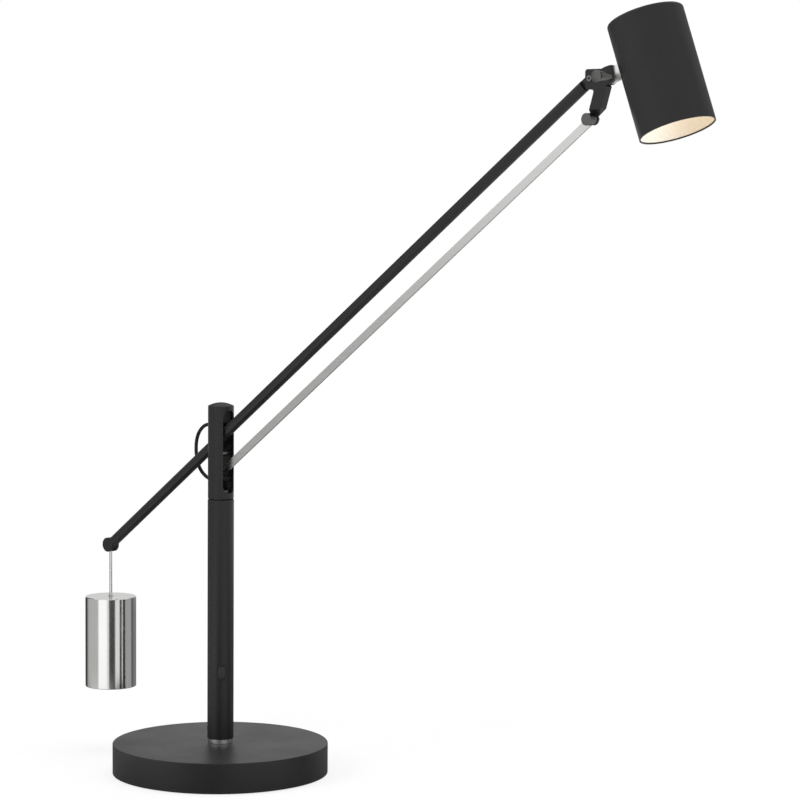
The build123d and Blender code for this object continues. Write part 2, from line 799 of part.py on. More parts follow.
def link_nut():
    nut = hex_bar(link_nut_width, 0, link_nut_height)
    nut -= rod(knob_screw_diameter + 2 * fixed_gap, -cut_through, link_nut_height + cut_through)
    nut = Pos(0, lever_half + link_nut_height + side_gap / 2, 0) * Rot(90, 0, 0) * nut
    return on_lever() * Pos(0, 0, -link_spacing) * nut


def thumb_knob():
    small = thumb_small_diameter / 2
    large = thumb_large_diameter / 2
    crown_start = thumb_length - thumb_crown
    grip_start = crown_start - thumb_grip
    crown = (large ** 2 + thumb_crown ** 2) / (2 * thumb_crown)
    half_turn = asin(large / crown) / 2
    crown_middle = (crown * sin(half_turn), thumb_length - crown + crown * cos(half_turn))
    profile = make_face(Wire([
        Line((0, 0), (small, 0)),
        Line((small, 0), (small, thumb_collar)),
        Line((small, thumb_collar), (large, grip_start)),
        Line((large, grip_start), (large, crown_start)),
        ThreePointArc((large, crown_start), crown_middle, (0, thumb_length)),
        Line((0, thumb_length), (0, 0)),
    ]))
    knob = revolve(Plane.XZ * profile, Axis.Z)
    knob += rod(thumb_screw_diameter, -lever_thickness, 0)
    inner = -lever_half - side_gap
    return on_lever() * Pos(tilt_pivot_x, inner, tilt_pivot_z) * Rot(90, 0, 0) * knob


# ================================================================ shade

def on_shade_axis(piece):
    return on_shade() * Pos(shade_axis_x, 0, 0) * piece


def bracket_screw_places():
    half = bracket_screw_spacing / 2
    return [Pos(0, -half, 0), Pos(0, half, 0)]


def bracket_holes(diameter):
    hole = long_rod(diameter, 0, shade_radius)
    return [place * hole for place in bracket_screw_places()]


def shade_shell():
    outer = rod(shade_diameter, shade_mouth, shade_top)
    outer = fillet(outer.edges().group_by(Axis.Z)[-1], shade_edge_radius)
    inner = rod(2 * shade_inside_radius, shade_mouth - cut_through, shade_top - shade_wall)
    inner = fillet(inner.edges().group_by(Axis.Z)[-1], shade_edge_radius - shade_wall)
    shell = on_shade_axis(outer - inner)
    for hole in bracket_holes(bracket_screw_diameter + 2 * fixed_gap):
        shell -= on_shade() * hole
    return shell


def shade_bracket():
    half = strap_thickness / 2
    tall = (strap_rise - strap_width / 2, strap_rise + strap_width / 2)
    strap = cross_rod(strap_width, -half, half, 0, strap_rise)
    strap += block((0, shade_wall_gap), (-half, half), tall)
    foot_start = shade_wall_gap - strap_foot_thickness
    foot_half = strap_foot_width / 2
    strap += block((foot_start, shade_axis_x), (-foot_half, foot_half), tall)
    strap -= Pos(shade_axis_x, 0, 0) * rod(shade_diameter + 2 * fixed_gap, -shade_length, shade_length)
    strap -= block((shade_axis_x - shade_radius / 2, shade_axis_x + cut_through), (-foot_half, foot_half), tall)
    strap -= cross_rod(thumb_screw_diameter + 2 * running_gap, -half, half)
    for hole in bracket_holes(bracket_screw_diameter):
        strap -= hole
    return on_shade() * strap


def bracket_screws():
    """Screws from inside the shade, through both brackets."""
    half = bracket_screw_spacing / 2
    inside = shade_axis_x - sqrt(shade_inside_radius ** 2 - half ** 2)
    seat = inside + inner_bracket_sheet + bracket_wall_relief
    start = shade_wall_gap - strap_foot_thickness
    shank = long_rod(bracket_screw_diameter - 2 * fixed_gap, start, seat)
    head = long_rod(bracket_screw_head_diameter, seat, seat + bracket_screw_head_height)
    return [on_shade() * place * (shank + head) for place in bracket_screw_places()]


def holder_bracket():
    """Sheet strap down the inside of the shade's wall, bent over to carry the lamp holder."""
    half = inner_bracket_width / 2
    screw_half = bracket_screw_spacing / 2
    wall_face = shade_axis_x - shade_inside_radius
    flat = shade_axis_x - sqrt(shade_inside_radius ** 2 - screw_half ** 2) + bracket_wall_relief
    leg = block((wall_face, flat + inner_bracket_sheet), (-half, half), (-inner_bracket_tail, bracket_shelf_top))
    leg -= block((wall_face - cut_through, flat), (-half, half), (inner_bracket_tail, bracket_shelf_top + cut_through))
    shelf_end = shade_axis_x + inner_bracket_reach
    shelf = block((flat, shelf_end), (-half, half), (bracket_shelf_bottom, bracket_shelf_top))
    bracket = leg + shelf
    bracket &= Pos(shade_axis_x, 0, 0) * rod(2 * (shade_inside_radius - fixed_gap), -shade_length, shade_length)
    bracket -= Pos(shade_axis_x, 0, 0) * rod(holder_nipple_diameter + 2 * fixed_gap, 0, shade_length)
    for hole in bracket_holes(bracket_screw_diameter + 2 * fixed_gap):
        bracket -= hole
    return on_shade() * bracket


def lamp_holder():
    neck_top = bracket_shelf_bottom
    shoulder = neck_top - holder_length / 3
    body = rod(holder_diameter, holder_bottom, shoulder)
    body += Pos(0, 0, (shoulder + neck_top) / 2) * Cone(
        holder_diameter / 2, holder_neck_diameter / 2, neck_top - shoulder)
    nipple_top = bracket_shelf_top + holder_nut_height
    body += rod(holder_nipple_diameter, neck_top, nipple_top)
    body -= rod(holder_bore, holder_bottom - cut_through, holder_bottom + holder_bore_depth)
    return on_shade_axis(body)


def holder_nut():
    nut = hex_bar(holder_nut_width, bracket_shelf_top, bracket_shelf_top + holder_nut_height)
    nut -= rod(holder_nipple_diameter + 2 * fixed_gap, 0, shade_length)
    return on_shade_axis(nut)


def holder_ring():
    bottom = holder_bottom + holder_ring_height
    ring = tube(holder_ring_diameter, holder_diameter + 2 * fixed_gap, bottom, bottom + holder_ring_height)
    return on_shade_axis(ring)


def bulb_base():
    bottom = holder_bottom - side_gap
    return on_shade_axis(rod(bulb_cap_diameter, bottom, bottom + bulb_cap_length))


def bulb_glass():
    neck = bulb_cap_diameter / 2
    wide = bulb_diameter / 2
    top = holder_bottom - side_gap
    shoulder = top - bulb_neck_length
    end = top - bulb_length
    outline = make_face(Wire([
        Line((0, top), (neck, top)),
        Line((neck, top), (wide, shoulder)),
        Line((wide, shoulder), (wide, end + wide)),
        ThreePointArc((wide, end + wide), (wide * sin(pi / 4), end + wide - wide * cos(pi / 4)), (0, end)),
        Line((0, end), (0, top)),
    ]))
    return on_shade_axis(revolve(Plane.XZ * outline, Axis.Z))


# ================================================================ the lamp, piece by piece

def lamp():
    return {
        "base_cover": base_cover(),
        "base_weight": base_weight(),
        "base_plate": base_plate(),
        "base_plate_screws": base_plate_screws(),
        "base_pad": base_pad(),
        "cord_gland": cord_gland(),
        "stem_nipple": stem_nipple(),
        "stem_washer": stem_washer(),
        "stem_nut": stem_nut(),
        "base_collar": base_collar(),
        "foot_plug": foot_plug(),
        "lower_post": lower_post(),
        "switch_button": switch_button(),
        "switch_body": switch_body(),
        "swivel_spigot": swivel_spigot(),
        "swivel_nut": swivel_nut(),
        "head_tube": head_tube(),
        "head_bush": head_bush(),
        "head_cap": head_cap(),
        "pivot_yoke": pivot_yoke(),
        "yoke_screw": yoke_screw(),
        "arm_pivot_pin": riveted_pin(arm_pivot_height),
        "link_pivot_pin": riveted_pin(link_pivot_height),
        "yoke_cross_bolt": yoke_cross_bolt(),
        "link_spacers": link_spacers(),
        "lead_clip": lead_clip(),
        "cable_loop": cable_loop(),
        "arm_tube": arm_tube(),
        "arm_bush": arm_bush(),
        "arm_tip_plug": arm_tip_plug(),
        "tail_barrel": tail_barrel(),
        "hang_pin": hang_pin(),
        "link_bar": link_bar(),
        "hang_rod": hang_rod(),
        "counterweight": counterweight(),
        "head_lever": head_lever(),
        "lever_screw": lever_screw(),
        "link_knob": link_knob(),
        "link_washer": link_washer(),
        "link_nut": link_nut(),
        "thumb_knob": thumb_knob(),
        "shade_shell": shade_shell(),
        "shade_bracket": shade_bracket(),
        "bracket_screws": bracket_screws(),
        "holder_bracket": holder_bracket(),
        "lamp_holder": lamp_holder(),
        "holder_nut": holder_nut(),
        "holder_ring": holder_ring(),
        "bulb_base": bulb_base(),
        "bulb_glass": bulb_glass(),
    }


os.makedirs("parts", exist_ok=True)
for name, piece in lamp().items():
    solids = piece if isinstance(piece, list) else piece.solids()
    node = Compound(children=list(solids)) if len(solids) > 1 else solids[0]
    node.label = name
    export_step(node, f"parts/{name}.step")
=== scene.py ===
# %% [markdown]
# # A counterweight balance desk lamp
# The lamp is a black tube post on a heavy round base. A long thin arm pivots at the top of the post,
# with a steel bar under it and a steel weight hanging from its tail, so that the small shade keeps
# its angle and stays where it is left.
# Every hard part already exists as an accurate solid. What is left for Blender is how it looks: the
# camera, the loose loop of lead, the paint, the metals, the lit bulb and the studio.

# %% The solids
import math
import bmesh
import bpy
from mathutils import Matrix, Vector


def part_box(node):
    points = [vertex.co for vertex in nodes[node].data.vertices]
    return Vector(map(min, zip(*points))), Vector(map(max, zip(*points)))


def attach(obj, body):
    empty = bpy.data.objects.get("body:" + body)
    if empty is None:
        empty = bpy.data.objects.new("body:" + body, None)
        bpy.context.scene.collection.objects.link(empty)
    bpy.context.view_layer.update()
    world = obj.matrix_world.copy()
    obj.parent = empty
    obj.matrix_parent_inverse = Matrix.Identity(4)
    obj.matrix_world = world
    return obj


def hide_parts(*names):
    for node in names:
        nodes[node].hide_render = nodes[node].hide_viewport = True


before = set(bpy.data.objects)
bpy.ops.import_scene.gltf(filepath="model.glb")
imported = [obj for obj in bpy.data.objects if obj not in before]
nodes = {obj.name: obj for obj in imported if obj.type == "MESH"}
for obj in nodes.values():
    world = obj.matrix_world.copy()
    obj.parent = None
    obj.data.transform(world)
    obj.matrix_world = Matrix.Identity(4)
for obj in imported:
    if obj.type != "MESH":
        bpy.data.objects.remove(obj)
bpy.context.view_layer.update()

# %% [markdown]
# ## The camera
# A long lens far away keeps the post and the arm almost free of perspective. The camera stands in
# front and to the right, at about three quarters of the lamp's height, and looks slightly down.
# A camera looks along its own -Z with +Y up, so its three axes are written as the columns of a
# matrix. That is exact, and easier to check than three angles.

# %% The camera
camera_place = Vector((1.8927, -1.8488, 0.5561))
look_level = Vector((-0.6692, 0.7431, 0.0)).normalized()
look_down = math.radians(4.304)
camera_roll = math.radians(0.380)

image_right = look_level.cross(Vector((0, 0, 1)))
forward = look_level * math.cos(look_down) - Vector((0, 0, 1)) * math.sin(look_down)
upward = image_right.cross(forward)
camera_x = image_right * math.cos(camera_roll) + upward * math.sin(camera_roll)
camera_y = upward * math.cos(camera_roll) - image_right * math.sin(camera_roll)

camera_data = bpy.data.cameras.new("camera")
camera_data.sensor_fit = "HORIZONTAL"
camera_data.sensor_width = 36
camera_data.lens = 126
camera = bpy.data.objects.new("camera", camera_data)
turn = Matrix((camera_x, camera_y, -forward)).transposed().to_4x4()
camera.matrix_world = Matrix.Translation(camera_place) @ turn
bpy.context.scene.collection.objects.link(camera)
bpy.context.scene.camera = camera
print("camera to post, m:", round(camera_place.xy.length, 3))

# %% [markdown]
# ## The loop of lead
# Where the post head turns on the post, the lead leaves the slot at the back, hangs in a free loop
# and goes down the middle of the joint. The slack lets the head turn without pulling.
# A round cord is a curve with a bevel: its control points are the route, and a NURBS spline of
# order 3 rounds them off as a soft lead bends. The order and the end points are set after the points
# are there, because a spline with one point can't hold them. The thickness is each point's radius on
# a bevel of 1, so that the curve's own box is as thin as the lead.

# %% The loop of lead
lead_diameter = 0.0034
lead_points = [
    (-0.0020, 0.0049, 0.3314),
    (-0.0163, 0.0052, 0.3324),
    (-0.0310, 0.0072, 0.3303),
    (-0.0422, 0.0090, 0.3193),
    (-0.0440, 0.0092, 0.3029),
    (-0.0387, 0.0084, 0.2886),
    (-0.0272, 0.0066, 0.2806),
    (-0.0138, 0.0042, 0.2786),
    (-0.0020, 0.0008, 0.2756),
    (-0.0004, 0.0002, 0.2642),
]
lead_curve = bpy.data.curves.new("lead_loop", "CURVE")
lead_curve.dimensions = "3D"
lead_curve.bevel_depth = 1.0
lead_curve.bevel_resolution = 6
lead_curve.use_fill_caps = True
lead_spline = lead_curve.splines.new("NURBS")
lead_spline.points.add(len(lead_points) - 1)
for point, place in zip(lead_spline.points, lead_points):
    point.co = (*place, 1)
    point.radius = lead_diameter / 2
lead_spline.order_u = 3
lead_spline.use_endpoint_u = True
lead_spline.resolution_u = 16
lead_loop = bpy.data.objects.new("lead_loop", lead_curve)
bpy.context.scene.collection.objects.link(lead_loop)
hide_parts("cable_loop")
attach(lead_loop, "post_head")
print("lead points:", len(lead_points))

# %% [markdown]
# ## Writing materials as arithmetic
# A material is a graph of nodes, and wiring it by hand takes many lines. One small class wraps an
# output socket: a sum, a product or a comparison of two adds the Math node that does it. A second
# class is a graph: it makes any node from its settings and its inputs, and has short ways to a smooth
# step, a distance and the separate coordinates. A third is a material, and adds what the finishes
# share: a place on the piece, a noise, a blend, a colour laid over another and a bump.

# %% Sockets that do arithmetic
class Amount:
    """An output socket of a graph, usable in sums with numbers and with others of its kind."""

    def __init__(self, graph, socket):
        self.graph = graph
        self.socket = socket

    def maths(self, operation, first, second):
        """The result of one Math node."""
        node = self.graph.node("Math", {"operation": operation}, {0: first, 1: second})
        return Amount(self.graph, node.outputs[0])

    def __add__(self, other):
        return self.maths("ADD", self, other)

    def __sub__(self, other):
        return self.maths("SUBTRACT", self, other)

    def __rsub__(self, other):
        return self.maths("SUBTRACT", other, self)

    def __mul__(self, other):
        return self.maths("MULTIPLY", self, other)

    def __lt__(self, other):
        return self.maths("LESS_THAN", self, other)

    __radd__ = __add__


class Graph:
    """The nodes of a material or of the world."""

    def __init__(self, tree):
        self.tree = tree

    def feed(self, socket, value):
        """Sets a socket to a plain value, or links it to another socket."""
        if isinstance(value, Amount):
            self.tree.links.new(value.socket, socket)
        else:
            socket.default_value = value

    def node(self, kind, settings=None, inputs=None):
        """Any node: its settings first, then its inputs by name or number."""
        node = self.tree.nodes.new("ShaderNode" + kind)
        for name, value in (settings or {}).items():
            setattr(node, name, value)
        for name, value in (inputs or {}).items():
            self.feed(node.inputs[name], value)
        return node

    def between(self, value, low, high, at_low, at_high):
        """Goes smoothly from at_low to at_high while value goes from low to high."""
        node = self.node("MapRange", {"interpolation_type": "SMOOTHSTEP"}, {
            "Value": value, "From Min": low, "From Max": high, "To Min": at_low, "To Max": at_high,
        })
        return Amount(self, node.outputs[0])

    def distance(self, where, counted=(1, 1, 1)):
        """Distance from the start of where. An axis counted as 0 is left out of it."""
        kept = self.node("VectorMath", {"operation": "MULTIPLY"}, {0: where, 1: counted})
        length = self.node("VectorMath", {"operation": "LENGTH"}, {0: Amount(self, kept.outputs[0])})
        return Amount(self, length.outputs["Value"])

    def parts(self, where):
        """The three coordinates of where, each by itself."""
        node = self.node("SeparateXYZ", {}, {0: where})
        return [Amount(self, output) for output in node.outputs]


class Finish(Graph):
    """A material built round its Principled shader."""

    def __init__(self, name, **constants):
        self.material = bpy.data.materials.new(name)
        self.material.use_nodes = True
        super().__init__(self.material.node_tree)
        self.shader = self.tree.nodes["Principled BSDF"]
        for socket, value in constants.items():
            self.feed(self.shader.inputs[socket.replace("_", " ")], value)

    def place(self, turn=(0, 0, 0), stretch=(1, 1, 1), start=(0, 0, 0)):
        """Object coordinates, with a pattern's own start, turn and stretch."""
        coordinates = self.node("TexCoord")
        shifted = self.node("VectorMath", {"operation": "SUBTRACT"},
                            {0: Amount(self, coordinates.outputs["Object"]), 1: start})
        mapped = self.node("Mapping", {"vector_type": "POINT"},
                           {"Vector": Amount(self, shifted.outputs[0]), "Rotation": turn, "Scale": stretch})
        return Amount(self, mapped.outputs[0])

    def noise(self, where, scale, detail, roughness=0.5):
        """Soft random values from 0 to 1, mostly near 0.5, in spots about 1 / scale metres across."""
        node = self.node("TexNoise", {}, {
            "Vector": where, "Scale": scale, "Detail": detail, "Roughness": roughness,
        })
        return Amount(self, node.outputs["Fac"])

    def blend(self, share, first, second):
        """One colour turning into another. The Mix node's colour sockets have only numbers."""
        colour_a, colour_b, colour_out = 6, 7, 2
        inputs = {"Factor": share, colour_a: first, colour_b: second}
        node = self.node("Mix", {"data_type": "RGBA"}, inputs)
        return Amount(self, node.outputs[colour_out])

    def cover(self, share, colour):
        """Lays another colour over the one that is there, where share is 1."""
        socket = self.shader.inputs["Base Color"]
        self.feed(socket, self.blend(share, Amount(self, socket.links[0].from_socket), colour))

    def bump(self, height, distance):
        """Small relief on the shader's normal: a height of 1 stands out by distance, in metres."""
        node = self.node("Bump", {}, {"Strength": 1.0, "Distance": distance, "Height": height})
        self.feed(self.shader.inputs["Normal"], Amount(self, node.outputs[0]))

    def give(self, *names):
        """Puts the finish on those solids."""
        for name in names:
            for slot in nodes[name].material_slots:
                slot.material = self.material
        print(self.material.name, "on", ", ".join(names))


print("helpers ready")

# %% [markdown]
# ## Black powder coat
# The post, arm, lever, base and shade are powder coated. The powder melts into a satin skin with a
# very fine orange peel. Black isn't nothing: nearly all that is seen of it is reflection, so the
# roughness matters more than the colour. Two noises do the work, a fine one for the peel and a broad
# one that makes the sheen slightly uneven, as handling and dust do.

# %% Black powder coat
peel_scale = 1400
peel_sheen = 0.06
peel_depth = 0.00003
patch_scale = 26


def powder_coat(name, dark, pale, sheen, uneven, level=0.32):
    """Satin paint between two near colours, of mean roughness sheen."""
    coat = Finish(name, Specular_IOR_Level=level)
    where = coat.place()
    peel = coat.noise(where, peel_scale, 3.0)
    patches = coat.noise(where, patch_scale, 4.0, 0.6)
    coat.feed(coat.shader.inputs["Base Color"], coat.blend(patches, dark, pale))
    roughness = sheen + (patches - 0.5) * uneven + (peel - 0.5) * peel_sheen
    coat.feed(coat.shader.inputs["Roughness"], roughness)
    coat.bump(peel, peel_depth)
    return coat


soot = (0.0095, 0.0095, 0.0100, 1)
charcoal = (0.0140, 0.0140, 0.0145, 1)
stand_paint = powder_coat("stand_paint", soot, charcoal, 0.42, 0.12)
stand_paint.give("lower_post", "head_tube", "head_cap", "pivot_yoke")
arm_paint = powder_coat("arm_paint", soot, charcoal, 0.40, 0.12)
arm_paint.give("arm_tube", "arm_tip_plug", "tail_barrel", "head_lever")
base_paint = powder_coat("base_paint", soot, charcoal, 0.46, 0.14, level=0.38)
base_paint.give("base_cover")

# %% [markdown]
# ## The shade, black outside and warm white inside
# The shade is one solid, but its inner wall is enamelled white and lit by the bulb. The finish finds
# the inner wall by its distance from the shade's own axis: the coordinates are moved to that axis and
# turned upright, and then the distance is a plain length. The paint goes round the lip, so the enamel
# starts a little above the mouth. The enamel has a glow of its own, which is painted light: it stands
# for the bulb's light on it and is steadier than waiting for bounces. The enamel's colour carries
# painted shade as well: colour and glow go from a lit copy to a dimmer, warmer shaded copy across the
# shade, and the glow gets dimmer towards the mouth.

# %% The shade's enamel
shade_tilt = math.radians(20.5)
tilt_pivot = Vector((0.46198, 0.0, 0.64999))
axis_from_pivot = 0.0477
shade_outer_radius = 0.0323
shade_wall = 0.0012
shade_top = 0.0343
shade_mouth = -0.0655

axis_start = tilt_pivot + Vector((math.cos(shade_tilt), 0, math.sin(shade_tilt))) * axis_from_pivot
shade_finish = powder_coat("shade_paint", soot, charcoal, 0.40, 0.12)
on_axis = shade_finish.place(start=axis_start, turn=(0, shade_tilt, 0))
outward, beside, along = shade_finish.parts(on_axis)
from_axis = shade_finish.distance(on_axis, (1, 1, 0))
painted_lip = 0.0012
lip_start = shade_mouth + painted_lip * 0.8
lip_end = shade_mouth + painted_lip * 1.2
past_lip = shade_finish.between(along, lip_start, lip_end, 0.0, 1.0)
just_inside = shade_outer_radius - shade_wall * 0.97
under_top = shade_top - shade_wall * 0.5
inside = (from_axis < just_inside) * (along < under_top) * past_lip

# Painted light and shade: the enamel's colour and glow are a lit copy on one side of the shade and a dimmer,
# warmer copy on the other.
painted_shade_direction = (0.62, 0.78)
painted_light_until, painted_shade_from = -0.024, 0.030
sideways = outward * painted_shade_direction[0] + beside * painted_shade_direction[1]
painted_light_share = shade_finish.between(sideways, painted_light_until, painted_shade_from, 1.0, 0.0)

speck_scale = 40
enamel_painted_shade = (0.60, 0.51, 0.36, 1)
enamel_painted_light = (0.82, 0.78, 0.70, 1)
specks = shade_finish.noise(shade_finish.place(), speck_scale, 3.0)
enamel_and_painted_shade = shade_finish.blend(painted_light_share * 0.9 + specks * 0.1, enamel_painted_shade, enamel_painted_light)
shade_finish.cover(inside, enamel_and_painted_shade)

dim_glow = (0.34, 0.30, 0.27, 1)
lit_glow = (0.80, 0.80, 0.82, 1)
glow_strength = 0.80
glow_at_mouth = 0.55
nearness = shade_finish.between(along, shade_mouth, 0.0, glow_at_mouth, 1.0)
bounced = shade_finish.blend(painted_light_share, dim_glow, lit_glow)
glow = shade_finish.blend(inside * nearness, (0, 0, 0, 1), bounced)
shade_finish.feed(shade_finish.shader.inputs["Emission Color"], glow)
shade_finish.shader.inputs["Emission Strength"].default_value = glow_strength
shade_finish.give("shade_shell")
print("shade axis starts at", [round(c, 4) for c in axis_start])

# %% [markdown]
# ## Steel that was turned or drawn
# The weight was turned on a lathe, so its marks are rings round its axis. The bar and the rod that
# the weight hangs on were drawn, so theirs run lengthwise. Stretching one noise much more across the
# marks than along them gives both: the stretch and the turn of the pattern say which way the tool
# went.

# %% Turned and drawn steel
cloud_scale = 45


def bare_metal(name, colour, tint, sheen, uneven, stretch,
               turn=(0, 0, 0), depth=0.000004, grazing=0.78):
    """Metal with fine marks, which are closest together along the axis with the largest stretch."""
    metal = Finish(name, Metallic=1.0, Specular_Tint=(grazing, grazing, grazing, 1))
    marks = metal.noise(metal.place(turn, stretch), 1.0, 3.0, 0.6)
    clouds = metal.noise(metal.place(), cloud_scale, 3.0)
    metal.feed(metal.shader.inputs["Base Color"], metal.blend(marks * 0.6 + clouds * 0.4, colour, tint))
    roughness = sheen + (marks - 0.5) * uneven + (clouds - 0.5) * uneven
    metal.feed(metal.shader.inputs["Roughness"], roughness)
    metal.bump(marks, depth)
    return metal


arm_slope = math.radians(36.7)
turned_steel = bare_metal("turned_steel", (0.60, 0.60, 0.59, 1), (0.74, 0.74, 0.73, 1), 0.15, 0.06,
                          (8, 8, 1900))
turned_steel.give("counterweight")
drawn_rod = bare_metal("drawn_rod", (0.62, 0.62, 0.61, 1), (0.74, 0.74, 0.73, 1), 0.24, 0.08,
                       (1500, 1500, 30))
drawn_rod.give("hang_rod")
drawn_bar = bare_metal("drawn_bar", (0.60, 0.60, 0.59, 1), (0.72, 0.72, 0.71, 1), 0.30, 0.10,
                       (12, 1500, 1500), (0, arm_slope, 0))
drawn_bar.give("link_bar")

# %% [markdown]
# ## Bright steel, zinc, brass and iron
# The nut behind the knob is polished, and needs only a few soft smears. The strap that holds the
# shade is brushed, and the collar at the foot of the post has rings from its rolling. The fixings
# inside are zinc plated, with a mottled bloom. Those in the slot get a much darker zinc colour, which
# is painted shade for the shade in the slot. The journal that the head turns on is brass, and the
# weight in the base is sand cast iron, dark and coarse.

# %% The other metals
bright_steel = bare_metal("bright_steel", (0.72, 0.72, 0.71, 1), (0.80, 0.80, 0.79, 1), 0.10, 0.05,
                          (60, 60, 60))
bright_steel.give("link_nut")
brushed_steel = bare_metal("brushed_steel", (0.84, 0.84, 0.83, 1), (0.92, 0.92, 0.91, 1), 0.34, 0.08,
                           (1400, 1400, 60), grazing=1.0)
brushed_steel.give("shade_bracket")
rolled_steel = bare_metal("rolled_steel", (0.80, 0.80, 0.79, 1), (0.90, 0.90, 0.89, 1), 0.24, 0.08,
                          (20, 20, 2600), depth=0.00003, grazing=1.0)
rolled_steel.give("base_collar")
mottle = (260, 260, 260)
zinc_plate = bare_metal("zinc_plate", (0.50, 0.51, 0.52, 1), (0.66, 0.66, 0.64, 1), 0.34, 0.16, mottle)
zinc_plate.give("base_plate", "base_plate_screws", "stem_nipple", "stem_washer", "stem_nut", "foot_plug",
                "hang_pin", "link_washer", "bracket_screws", "holder_bracket", "holder_nut")
# Painted shade: the fixings in the slot get a much darker zinc colour for the shade that falls in the slot.
slot_zinc_painted_shade = bare_metal("slot_zinc_painted_shade", (0.16, 0.16, 0.16, 1), (0.26, 0.26, 0.25, 1), 0.50, 0.16, mottle)
slot_zinc_painted_shade.give("swivel_nut", "yoke_screw", "arm_pivot_pin", "link_pivot_pin")
turned_brass = bare_metal("turned_brass", (0.66, 0.48, 0.20, 1), (0.78, 0.60, 0.30, 1), 0.22, 0.10,
                          (20, 20, 1400))
turned_brass.give("swivel_spigot")
cast_iron = Finish("cast_iron", Metallic=0.6, Specular_IOR_Level=0.3)
sand_scale = 700
sand_depth = 0.0003
sand = cast_iron.noise(cast_iron.place(), sand_scale, 6.0, 0.7)
iron_colour = cast_iron.blend(sand, (0.045, 0.042, 0.040, 1), (0.10, 0.095, 0.09, 1))
cast_iron.feed(cast_iron.shader.inputs["Base Color"], iron_colour)
cast_iron.feed(cast_iron.shader.inputs["Roughness"], 0.55 + sand * 0.3)
cast_iron.bump(sand, sand_depth)
cast_iron.give("base_weight")

# %% [markdown]
# ## The knobs
# The thumb knob, the knob under it and the cross bolt in the slot are a dark grey metal, turned and
# then chemically darkened. They catch more light than the paint beside them, which is what makes
# them readable as separate pieces. Their marks are as fine in all directions.

# %% The knobs
even_marks = (900, 900, 900)
knob_metal = bare_metal("knob_metal", (0.10, 0.10, 0.10, 1), (0.16, 0.16, 0.155, 1), 0.36, 0.10, even_marks)
knob_metal.give("yoke_cross_bolt", "link_knob", "thumb_knob")

# %% [markdown]
# ## The lever's cross screw
# The screw that the lever turns on has a paler head with a recess. The recess is cut in the solid,
# and the finish paints shade into it, as no light gets in there: what lies near the screw's own axis
# and behind the head's face is painted near black.

# %% The lever's cross screw
screw_low, screw_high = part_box("lever_screw")
screw_centre = (Vector(screw_low) + Vector(screw_high)) / 2
recess_reach = 0.0016
recess_below_face = 0.0002
screw_metal = bare_metal("screw_metal", (0.15, 0.15, 0.15, 1), (0.21, 0.21, 0.205, 1), 0.34, 0.10, even_marks)
on_screw = screw_metal.place(start=screw_centre)
behind_face = screw_metal.parts(on_screw)[1]
from_screw_axis = screw_metal.distance(on_screw, (1, 0, 1))
face_place = screw_low[1] - screw_centre.y + recess_below_face
painted_shade_in_recess = (from_screw_axis < recess_reach) * (1 - (behind_face < face_place))
# Painted shade: the recess is coloured near black.
painted_recess_shade = (0.004, 0.004, 0.004, 1)
screw_metal.cover(painted_shade_in_recess, painted_recess_shade)
screw_metal.give("lever_screw")

# %% [markdown]
# ## Plastics, lead and pad
# Moulded plastic is smoother than the paint, with a fine spark texture from its mould. The lead's
# sheath is soft, so its dents are longer. The pad under the base is a dull felt.

# %% Plastics, lead and pad
handling_scale = 70
handling_sheen = 0.16
spark_sheen = 0.08


def moulded(name, dark, pale, sheen, grain, depth, level=0.5):
    """Plastic, sheath or felt, with a fine grain and a sheen made uneven by handling."""
    plastic = Finish(name, Specular_IOR_Level=level)
    spark = plastic.noise(plastic.place(), grain, 4.0, 0.6)
    handling = plastic.noise(plastic.place(), handling_scale, 3.0)
    plastic.feed(plastic.shader.inputs["Base Color"], plastic.blend(handling, dark, pale))
    roughness = sheen + (handling - 0.5) * handling_sheen + (spark - 0.5) * spark_sheen
    plastic.feed(plastic.shader.inputs["Roughness"], roughness)
    plastic.bump(spark, depth)
    return plastic


black_plastic = moulded("black_plastic", (0.012, 0.012, 0.012, 1), (0.020, 0.020, 0.020, 1), 0.36,
                        2200, 0.00003)
black_plastic.give("cord_gland", "switch_body", "switch_button", "head_bush", "link_spacers",
                   "lead_clip", "arm_bush")
holder_plastic = moulded("holder_plastic", (0.62, 0.59, 0.52, 1), (0.68, 0.65, 0.58, 1), 0.38,
                         1800, 0.00003)
holder_plastic.give("lamp_holder", "holder_ring")
lead_sheath = moulded("lead_sheath", (0.007, 0.007, 0.007, 1), (0.018, 0.018, 0.018, 1), 0.58,
                      900, 0.00001, level=0.16)
lead_loop.data.materials.append(lead_sheath.material)
felt_pad = moulded("felt_pad", (0.020, 0.020, 0.022, 1), (0.045, 0.045, 0.048, 1), 0.92,
                   3200, 0.0004, level=0.2)
felt_pad.give("base_pad")

# %% [markdown]
# ## The bulb
# The bulb's outline is an egg on a short neck. The simplest way to a smooth round piece is to draw
# half of its outline as a few points and spin it once round its axis, then merge where the spin
# meets itself. It is made upright at the origin, and moved into the shade at the end. Its glass is
# frosted and gives a warm light, and the cap that it sits in is a dull metal.

# %% The bulb
bulb_top = -0.0067
bulb_radius = 0.0130
bulb_length = 0.0380
neck_radius = 0.0064
neck_length = 0.0070

globe_centre = bulb_top - bulb_length + bulb_radius
globe_steps = 10
globe_from, globe_to = 38, -90
neck_straight, shoulder_reach, shoulder_widening = 0.6, 1.3, 1.35
spin_steps = 48
merge_within = 0.00001

outline = [(0.0, bulb_top), (neck_radius, bulb_top), (neck_radius, bulb_top - neck_length * neck_straight)]
outline.append((neck_radius * shoulder_widening, bulb_top - neck_length * shoulder_reach))
for step in range(globe_steps + 1):
    angle = math.radians(globe_from + (globe_to - globe_from) * step / globe_steps)
    outline.append((max(bulb_radius * math.cos(angle), 0.0), globe_centre + bulb_radius * math.sin(angle)))

